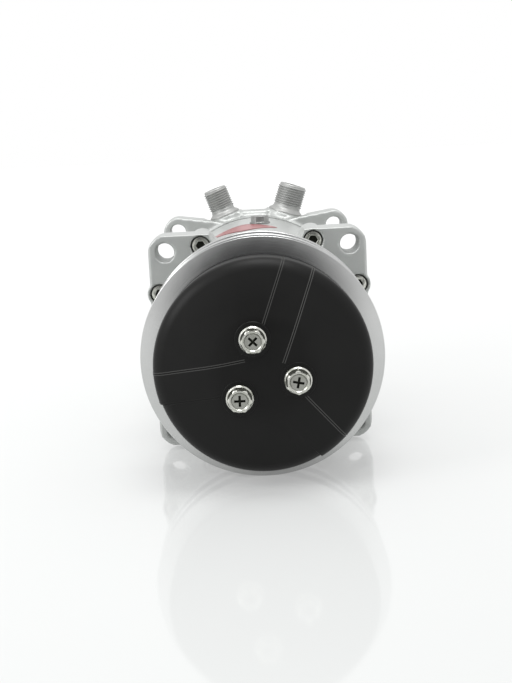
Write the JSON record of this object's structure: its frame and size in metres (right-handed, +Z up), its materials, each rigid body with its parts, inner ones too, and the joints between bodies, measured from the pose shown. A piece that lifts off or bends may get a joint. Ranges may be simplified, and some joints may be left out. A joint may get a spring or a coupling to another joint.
{
  "type": "automotive air-conditioning compressor",
  "caption": "Belt-driven wobble-plate refrigerant compressor with clutch pulley, covered hub, drilled ears at both ends and twin threaded ports on top.",
  "frame": {"origin": "on the shaft axis, in the plane of the front faces of the front mounting ears", "axes": "+Y along the shaft from clutch to rear head, +Z up through the ports, +X to the right seen from the clutch"},
  "size_m": [0.132, 0.2606, 0.1497],
  "materials": {
    "cast_aluminium": "sand-cast, matt",
    "machined_aluminium": "turned",
    "plated_steel": "zinc plated",
    "zinc_steel": "bright zinc, faint yellow-green passivation",
    "bearing_steel": "ground",
    "gear_steel": "machined",
    "spring_steel": "tempered",
    "pulley_steel": "bright zinc plate, satin",
    "cast_iron": "machined",
    "black_nylon": "moulded, fine grain",
    "red_label": "blank printed label",
    "black_rubber": "moulded",
    "coil_resin": "potted winding",
    "gasket": "coated sheet",
    "seal_carbon": "lapped carbon"
  },
  "bodies": {
    "housing": {"front_housing": "cast_aluminium", "cylinder_block": "cast_aluminium", "rear_head": "cast_aluminium", "suction_fitting": "machined_aluminium", "discharge_fitting": "machined_aluminium", "housing_bolts": "plated_steel", "head_bolts": "plated_steel", "oil_filler_plug": "plated_steel", "blank_label": "red_label", "body_o_ring": "black_rubber", "bearing_inner_ring": "bearing_steel", "snap_rings": "spring_steel", "coil_shell": "pulley_steel", "coil_winding": "coil_resin", "coil_grommet": "black_rubber", "seal_seat": "cast_iron", "front_needle_bearing": "bearing_steel", "fixed_gear": "gear_steel", "preload_spring": "spring_steel", "adjusting_screw": "plated_steel", "block_gasket": "gasket", "suction_reed": "spring_steel", "valve_plate": "gear_steel", "discharge_reed": "spring_steel", "reed_retainer": "gear_steel", "head_gasket": "gasket"},
    "pulley_assembly": {"pulley": "pulley_steel", "bearing_outer_ring": "bearing_steel", "bearing_balls": "bearing_steel"},
    "armature": {"armature_plate": "pulley_steel", "armature_rivets": "plated_steel"},
    "shaft_assembly": {"clutch_hub": "gear_steel", "clutch_springs": "spring_steel", "shaft_nut": "plated_steel", "hub_key": "gear_steel", "dust_cover": "black_nylon", "cover_screws": "zinc_steel", "drive_shaft": "bearing_steel", "cam_rotor": "cast_iron", "seal_ring": "seal_carbon", "front_thrust_bearing": "bearing_steel", "wobble_thrust_bearing": "bearing_steel"},
    "wobble_assembly": {"wobble_plate": "cast_aluminium", "plate_gear": "gear_steel", "centre_ball": "bearing_steel"},
    "rod_ball_joint_1": {"rod_ball_1": "bearing_steel"},
    "piston_set_1": {"con_rod_1": "gear_steel", "piston_1": "machined_aluminium"},
    "rod_ball_joint_2": {"rod_ball_2": "bearing_steel"},
    "piston_set_2": {"con_rod_2": "gear_steel", "piston_2": "machined_aluminium"},
    "rod_ball_joint_3": {"rod_ball_3": "bearing_steel"},
    "piston_set_3": {"con_rod_3": "gear_steel", "piston_3": "machined_aluminium"},
    "rod_ball_joint_4": {"rod_ball_4": "bearing_steel"},
    "piston_set_4": {"con_rod_4": "gear_steel", "piston_4": "machined_aluminium"},
    "rod_ball_joint_5": {"rod_ball_5": "bearing_steel"},
    "piston_set_5": {"con_rod_5": "gear_steel", "piston_5": "machined_aluminium"}
  },
  "joints": [
    {"name": "shaft_spin", "type": "hinge", "parent": "housing", "child": "shaft_assembly", "pos_m": [0, 0, 0], "axis": [0, 1, 0], "continuous": true},
    {"name": "pulley_spin", "type": "hinge", "parent": "housing", "child": "pulley_assembly", "pos_m": [0, -0.046, 0], "axis": [0, 1, 0], "continuous": true},
    {"name": "clutch_engage", "type": "slide", "parent": "shaft_assembly", "child": "armature", "axis": [0, 1, 0], "range_m": [0, 0.00045], "stiffness_N_per_m": 20000},
    {"name": "wobble_nutation", "type": "hinge", "parent": "shaft_assembly", "child": "wobble_assembly", "pos_m": [0, 0.038, 0], "axis": [0, 0.9272, 0.3746], "continuous": true},
    {"name": "rod_swivel_1", "type": "hinge", "parent": "wobble_assembly", "child": "rod_ball_joint_1", "pos_m": [0, 0.05205, -0.03477], "axis": [0, 0.9272, 0.3746], "continuous": true},
    {"name": "piston_stroke_1", "type": "hinge", "parent": "rod_ball_joint_1", "child": "piston_set_1", "pos_m": [0, 0.05205, -0.03477], "axis": [0, 1, 0], "continuous": true},
    {"name": "rod_swivel_2", "type": "hinge", "parent": "wobble_assembly", "child": "rod_ball_joint_2", "pos_m": [-0.03566, 0.04234, -0.01074], "axis": [0, 0.9272, 0.3746], "continuous": true},
    {"name": "piston_stroke_2", "type": "hinge", "parent": "rod_ball_joint_2", "child": "piston_set_2", "pos_m": [-0.03566, 0.04234, -0.01074], "axis": [0, 1, 0], "continuous": true},
    {"name": "rod_swivel_3", "type": "hinge", "parent": "wobble_assembly", "child": "rod_ball_joint_3", "pos_m": [-0.02204, 0.02664, 0.02813], "axis": [0, 0.9272, 0.3746], "continuous": true},
    {"name": "piston_stroke_3", "type": "hinge", "parent": "rod_ball_joint_3", "child": "piston_set_3", "pos_m": [-0.02204, 0.02664, 0.02813], "axis": [0, 1, 0], "continuous": true},
    {"name": "rod_swivel_4", "type": "hinge", "parent": "wobble_assembly", "child": "rod_ball_joint_4", "pos_m": [0.02204, 0.02664, 0.02813], "axis": [0, 0.9272, 0.3746], "continuous": true},
    {"name": "piston_stroke_4", "type": "hinge", "parent": "rod_ball_joint_4", "child": "piston_set_4", "pos_m": [0.02204, 0.02664, 0.02813], "axis": [0, 1, 0], "continuous": true},
    {"name": "rod_swivel_5", "type": "hinge", "parent": "wobble_assembly", "child": "rod_ball_joint_5", "pos_m": [0.03566, 0.04234, -0.01074], "axis": [0, 0.9272, 0.3746], "continuous": true},
    {"name": "piston_stroke_5", "type": "hinge", "parent": "rod_ball_joint_5", "child": "piston_set_5", "pos_m": [0.03566, 0.04234, -0.01074], "axis": [0, 1, 0], "continuous": true}
  ],
  "couplings": [
    {"joint": "wobble_nutation", "follows": "shaft_spin", "ratio": -1},
    {"joint": "rod_swivel_1", "follows": "shaft_spin", "ratio": 1},
    {"joint": "piston_stroke_1", "follows": "shaft_spin", "ratio": 1},
    {"joint": "rod_swivel_2", "follows": "shaft_spin", "ratio": 1},
    {"joint": "piston_stroke_2", "follows": "shaft_spin", "ratio": 1},
    {"joint": "rod_swivel_3", "follows": "shaft_spin", "ratio": 1},
    {"joint": "piston_stroke_3", "follows": "shaft_spin", "ratio": 1},
    {"joint": "rod_swivel_4", "follows": "shaft_spin", "ratio": 1},
    {"joint": "piston_stroke_4", "follows": "shaft_spin", "ratio": 1},
    {"joint": "rod_swivel_5", "follows": "shaft_spin", "ratio": 1},
    {"joint": "piston_stroke_5", "follows": "shaft_spin", "ratio": 1}
  ]
}
